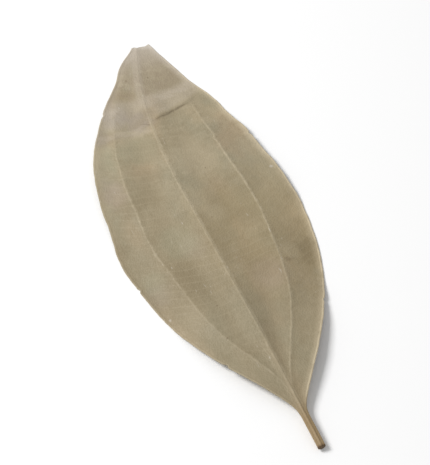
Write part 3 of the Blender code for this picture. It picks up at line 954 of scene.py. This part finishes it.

# %% [markdown]
# Wear tells the leaf's story. The crack is a fine dark line, broken here and there, with a faint brown halo,
# and the skin beyond it is paler. On the other side the blade only folded: a pale streak runs along the fold
# with a painted shade behind it, and a short split lies beside the midrib. Every mask here starts from the
# distance beyond the crack. Noise shifts that distance a little, because a real crack is never a clean curve.

# %% Crack and fold
CRACK_WANDER_MM = 1.0
SCAR_PLACE_MM, SCAR_SLANT_MM, SCAR_SLANT_END = 8.2, -3.5, -0.4
SPLIT_SLANT_MM, SPLIT_BELOW_MM = 15.0, 1.1
FOLD_SHADE, SPLIT_AMOUNT = 0.24, 0.26
CRACK_REACH = (0.07, 0.12, 0.50, 0.59)


def beyond_crack(tree):
    """Distance beyond the crack in millimetres, shifted by noise."""
    noise = speckle(tree, blade_place(tree), 2.2, 33.0, 4.0)
    wander = scaled(tree, noise, CRACK_WANDER_MM, -0.5 * CRACK_WANDER_MM)
    return calc(tree, "ADD", read(tree, "from_crease_mm"), wander)


def scar_colour(tree, colour):
    """Pale slanting band past the crack, the fold's pale streak on the left, and painted shade behind it."""
    share, beyond = read(tree, "share"), beyond_crack(tree)
    patchy = fade(tree, speckle(tree, blade_place(tree, (0.45, 1.5)), 1.9, 36.0, 4.0, 0.8), 0.30, 0.60)
    slant = calc(tree, "MULTIPLY", calc(tree, "MAXIMUM", share, SCAR_SLANT_END), SCAR_SLANT_MM)
    to_band = calc(tree, "SUBTRACT", calc(tree, "SUBTRACT", beyond, slant), SCAR_PLACE_MM)
    slanting = fade(tree, calc(tree, "ABSOLUTE", to_band), 4.0, 0.6)
    beside_crack = both(tree, window(tree, beyond, 0.2, 2.5, 5.0, 8.0), fade(tree, share, 0.0, 0.15), 0.6)
    band = both(tree, calc(tree, "MAXIMUM", slanting, beside_crack),
                scaled(tree, fade(tree, share, -0.2, 0.15), 0.26, 0.34), scaled(tree, patchy, 0.50, 0.60))
    colour = tint(tree, band, colour, SCAR_PALE)

    on_left = fade(tree, share, 0.02, -0.08)
    sag = scaled(tree, fade(tree, share, -0.35, 0.0), 2.4, 0.3)
    off_fold = calc(tree, "ABSOLUTE", calc(tree, "ADD", beyond, sag))
    fold = both(tree, on_left, fade(tree, off_fold, 2.2, 0.1), scaled(tree, patchy, 0.24, 0.12))
    colour = tint(tree, fold, colour, SCAR_PALE)
    # Painted shade just behind the fold on the left.
    behind = both(tree, on_left, window(tree, beyond, 0.9, 1.6, 2.0, 4.5), fade(tree, share, -0.9, -0.5))
    return tint(tree, both(tree, behind, FOLD_SHADE), colour, DARK_MOTTLE_AND_SHADE)


def crack_colour(tree, colour):
    """The short slanting split beside the midrib, then the crack's brown halo and its dark line."""
    share, beyond = read(tree, "share"), beyond_crack(tree)
    to_split = scaled(tree, share, SPLIT_SLANT_MM, calc(tree, "ADD", beyond, SPLIT_BELOW_MM))
    split = both(tree, fade(tree, calc(tree, "ABSOLUTE", to_split), 0.40, 0.10),
                 window(tree, share, -0.20, -0.12, -0.03, 0.0), SPLIT_AMOUNT)
    colour = tint(tree, split, colour, CRACK_DARK)
    reach = window(tree, share, *CRACK_REACH)
    gaps = fade(tree, speckle(tree, blade_place(tree), 1.2, 38.0, 2.0), 0.40, 0.54)
    off_line = calc(tree, "ABSOLUTE", beyond)
    halo = both(tree, reach, fade(tree, off_line, 0.80, 0.10), scaled(tree, gaps, 0.15, 0.13))
    colour = tint(tree, halo, colour, CRACK_BROWN)
    dark = both(tree, reach, fade(tree, off_line, 0.30, 0.08), scaled(tree, gaps, 0.20, 0.05))
    return tint(tree, dark, colour, CRACK_DARK)


print("crack is drawn from share", CRACK_REACH[0], "to", CRACK_REACH[-1])

# %% [markdown]
# The tip is pale along the midrib and papery at its very end, and brownish between. A few brown specks and
# pale scuffs are scattered over the rest by noise, with a handful of listed spots, and the stalk is
# straw brown with a darker cut.

# %% Tip, specks and stalk
TIP_MM = BLADE_LENGTH / MM
CUT_MM = -STALK_LENGTH / MM
BROWN_AMOUNT, FRINGE_AMOUNT, CUT_AMOUNT = 0.55, 0.60, 0.90
SPECK_CELL_MM, SPECK_AMOUNT, SCUFF_AMOUNT = 4.5, 0.35, 0.45
SPOT_GRAIN_MM = 0.5
SPOTS = (  # as the patches, but small
    (SPECK_BROWN, (
        (17.6, 48.8, 1.10, 0.30),
        (2.5, 128.2, 0.35, 0.50),
        (-9.0, 30.5, 0.40, 0.40),
    )),
    (FRINGE, (
        (27.6, 81.8, 0.70, 0.50),
        (-20.0, 44.0, 0.45, 0.40),
    )),
)


def tip_colour(tree, colour):
    """Brown mottle beyond the crack, paler towards the end, the edge and the midrib, and a papery fringe."""
    beyond = read(tree, "from_crease_mm")
    mottle = fade(tree, speckle(tree, blade_place(tree), 2.3, 44.0, 4.0, 0.8), 0.36, 0.62)
    colour = tint(tree, both(tree, fade(tree, beyond, 6.0, 13.0), mottle, BROWN_AMOUNT), colour, TIP_BROWN)
    near_edge = fade(tree, read(tree, "from_edge_mm"), 3.0, 0.2)
    more_on_right = scaled(tree, fade(tree, read(tree, "share"), -0.4, 0.4), 0.30, 0.15)
    off_rib = calc(tree, "ABSOLUTE", calc(tree, "ADD", read(tree, "across_mm"), 0.4))
    pale_masks = (
        both(tree, fade(tree, beyond, -4.0, 10.0), 0.12),
        both(tree, fade(tree, beyond, 18.0, 31.0), 0.55),
        both(tree, near_edge, fade(tree, beyond, 3.0, 14.0), more_on_right),
        both(tree, fade(tree, beyond, 5.0, 16.0), fade(tree, off_rib, 2.0, 0.6), 0.20),
    )
    for mask in pale_masks:
        colour = tint(tree, mask, colour, TIP_PALE)
    end = fade(tree, read(tree, "along_mm"), TIP_MM - 2.4, TIP_MM - 0.6)
    return tint(tree, both(tree, end, FRINGE_AMOUNT), colour, FRINGE)


def speck_colour(tree, colour):
    """Scattered brown specks, pale scuffs along the blade, and the few listed spots."""
    place = blade_place(tree)
    dots = fade(tree, net(tree, place, SPECK_CELL_MM, "F1"), 0.075, 0.045)
    few = fade(tree, speckle(tree, place, 5.0, 52.0, 0.0), 0.56, 0.60)
    colour = tint(tree, both(tree, dots, few, SPECK_AMOUNT), colour, SPECK_BROWN)
    scuffs = fade(tree, speckle(tree, blade_place(tree, (1.6, 0.35)), 0.9, 57.0, 2.0), 0.68, 0.76)
    here_and_there = fade(tree, speckle(tree, place, 9.0, 61.0), 0.48, 0.62)
    colour = tint(tree, both(tree, scuffs, here_and_there, SCUFF_AMOUNT), colour, FRINGE)
    return laid_spots(tree, colour, SPOTS, SPOT_GRAIN_MM)


def stalk_colour(tree, colour):
    """Straw brown on the stalk, darker where it was cut."""
    along = read(tree, "along_mm")
    colour = tint(tree, fade(tree, along, 7.0, -2.0), colour, STALK_TONE)
    cut = fade(tree, along, CUT_MM + 1.0, CUT_MM + 0.1)
    return tint(tree, both(tree, cut, CUT_AMOUNT), colour, STALK_CUT)


print("spots placed by hand:", sum(len(spots) for tone, spots in SPOTS))

# %% [markdown]
# Last comes the surface itself: a leathery skin with a dull gloss that varies a little, and a bump for what
# is finer than the mesh. The veins of the net stand up, and fine wrinkles and grain roughen the skin. Real
# displacement could do this too, but forms this small would need millions of faces.

# %% The leaf's material
NET_RISE, GRAIN_RISE, WRINKLE_RISE = 0.6, 0.5, 1.2
BUMP_DEPTH = 0.06 * MM
ROUGHNESS, ROUGHNESS_VARIES, GLOSS_PATCHES_MM = 0.46, 0.22, 3.5
SPECULAR = 0.35
COATS = (fine_vein_colour, nerve_shade_colour, nerve_colour, edge_colour, tip_colour, scar_colour,
         crack_colour, speck_colour, stalk_colour)


def new_material(name):
    """A material with the shader that it starts with."""
    material = bpy.data.materials.new(name)
    material.use_nodes = True
    return material, material.node_tree.nodes["Principled BSDF"]


def skin_bump(tree):
    """Height of the net's walls, the grain and the wrinkles, from 0 to about 2, for the bump node."""
    walls = fade(tree, net(tree, blade_place(tree, NET_STRETCH), NET_CELL_MM), 0.22, 0.0)
    grain = speckle(tree, blade_place(tree), 0.30, 71.0, 4.0)
    wrinkle = speckle(tree, blade_place(tree, (1.0, 0.5)), 1.3, 75.0, 4.0)
    height = scaled(tree, walls, NET_RISE, calc(tree, "MULTIPLY", grain, GRAIN_RISE))
    return scaled(tree, wrinkle, WRINKLE_RISE, height)


def leaf_skin():
    """The skin's colour with every coat laid over it in turn, a varying gloss and the bump."""
    material, shader = new_material("dried_leaf_skin")
    tree = material.node_tree
    colour = skin_colour(tree)
    for coat in COATS:
        colour = coat(tree, colour)
    feed(tree, shader.inputs["Base Color"], colour)
    gloss = speckle(tree, blade_place(tree), GLOSS_PATCHES_MM, 81.0, 4.0)
    feed(tree, shader.inputs["Roughness"], scaled(tree, gloss, ROUGHNESS_VARIES, ROUGHNESS))
    shader.inputs["Specular IOR Level"].default_value = SPECULAR
    bump_node = add_node(tree, "ShaderNodeBump")
    feed(tree, bump_node.inputs["Height"], skin_bump(tree))
    bump_node.inputs["Distance"].default_value = BUMP_DEPTH
    bump_node.inputs["Strength"].default_value = 1.0
    feed(tree, shader.inputs["Normal"], bump_node.outputs[0])
    return material


leaf.data.materials.append(leaf_skin())
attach(leaf, "root")
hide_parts(LEAF_NODE)
print("material has", len(leaf.data.materials[0].node_tree.nodes), "nodes")

# %% [markdown]
# ## Table and light
#
# The leaf lies on a plain white table that runs out of view. A wide soft light from the upper left models
# the nerves and the curled sides, and a white surround fills the shadows, as in a product photograph. One
# small hard lamp would show the relief too, but it would leave a black shadow beside the leaf.

# %% Floor, lights and view transform
FLOOR_SIZE, FLOOR_GAP = 4.0, 0.05 * MM
TABLE_WHITE, TABLE_ROUGHNESS = (0.97, 0.97, 0.97, 1.0), 0.9
SURROUND = 0.46
KEY_PLACE, KEY_SIZE, KEY_POWER = (-0.60, 0.34, 0.76), 0.40, 8.8


def white_table():
    """One square face just under the leaf, in matt white."""
    half = 0.5 * FLOOR_SIZE
    corners = np.array(((-half, -half), (half, -half), (half, half), (-half, half)))
    table = mesh_piece("table", np.column_stack((corners, np.full(4, -FLOOR_GAP))), np.arange(4)[None])
    material, shader = new_material("white_table")
    shader.inputs["Base Color"].default_value = TABLE_WHITE
    shader.inputs["Roughness"].default_value = TABLE_ROUGHNESS
    shader.inputs["Specular IOR Level"].default_value = 0.0
    table.data.materials.append(material)


def soft_light(name, place, size, power):
    """A square area light that faces the leaf."""
    data = bpy.data.lights.new(name, "AREA")
    data.size = size
    data.energy = power
    light = bpy.data.objects.new(name, data)
    light.location = place
    light.rotation_euler = (-Vector(place)).to_track_quat("-Z", "Y").to_euler()
    bpy.context.scene.collection.objects.link(light)


white_table()
soft_light("key", KEY_PLACE, KEY_SIZE, KEY_POWER)
world = bpy.data.worlds.new("surround")
world.use_nodes = True
world.node_tree.nodes["Background"].inputs["Color"].default_value = (1.0, 1.0, 1.0, 1.0)
world.node_tree.nodes["Background"].inputs["Strength"].default_value = SURROUND
bpy.context.scene.world = world
bpy.context.scene.view_settings.view_transform = "Standard"
print("key light at", KEY_PLACE)

# %% [markdown]
# ## Camera
#
# The camera looks down on the leaf from the stalk's side and a little from the left, so the tip points to
# the upper left. A long lens from 0.7 m away keeps the outline undistorted, and the leaf fills the frame. The
# lens is worked out from how many pixels a millimetre of leaf should cover.

# %% Camera
FRAME_HEIGHT_PX, SENSOR = 465, 36.0
ELEVATION, TURN = 52.0, 23.9
CAMERA_DISTANCE = 0.70
PX_PER_MM = 3.6
AIM = (0.0, 0.0, 3.0 * MM)

camera_data = bpy.data.cameras.new("camera")
camera_data.sensor_width = SENSOR
camera_data.lens = PX_PER_MM * SENSOR * (CAMERA_DISTANCE / MM) / FRAME_HEIGHT_PX
camera = bpy.data.objects.new("camera", camera_data)
tilt, turn = np.radians(ELEVATION), np.radians(TURN)
away = Vector((-np.sin(turn) * np.cos(tilt), -np.cos(turn) * np.cos(tilt), np.sin(tilt)))
camera.location = Vector(AIM) + CAMERA_DISTANCE * away
camera.rotation_euler = (-away).to_track_quat("-Z", "Y").to_euler()
bpy.context.scene.collection.objects.link(camera)
bpy.context.scene.camera = camera
print("lens", round(camera_data.lens), "mm")
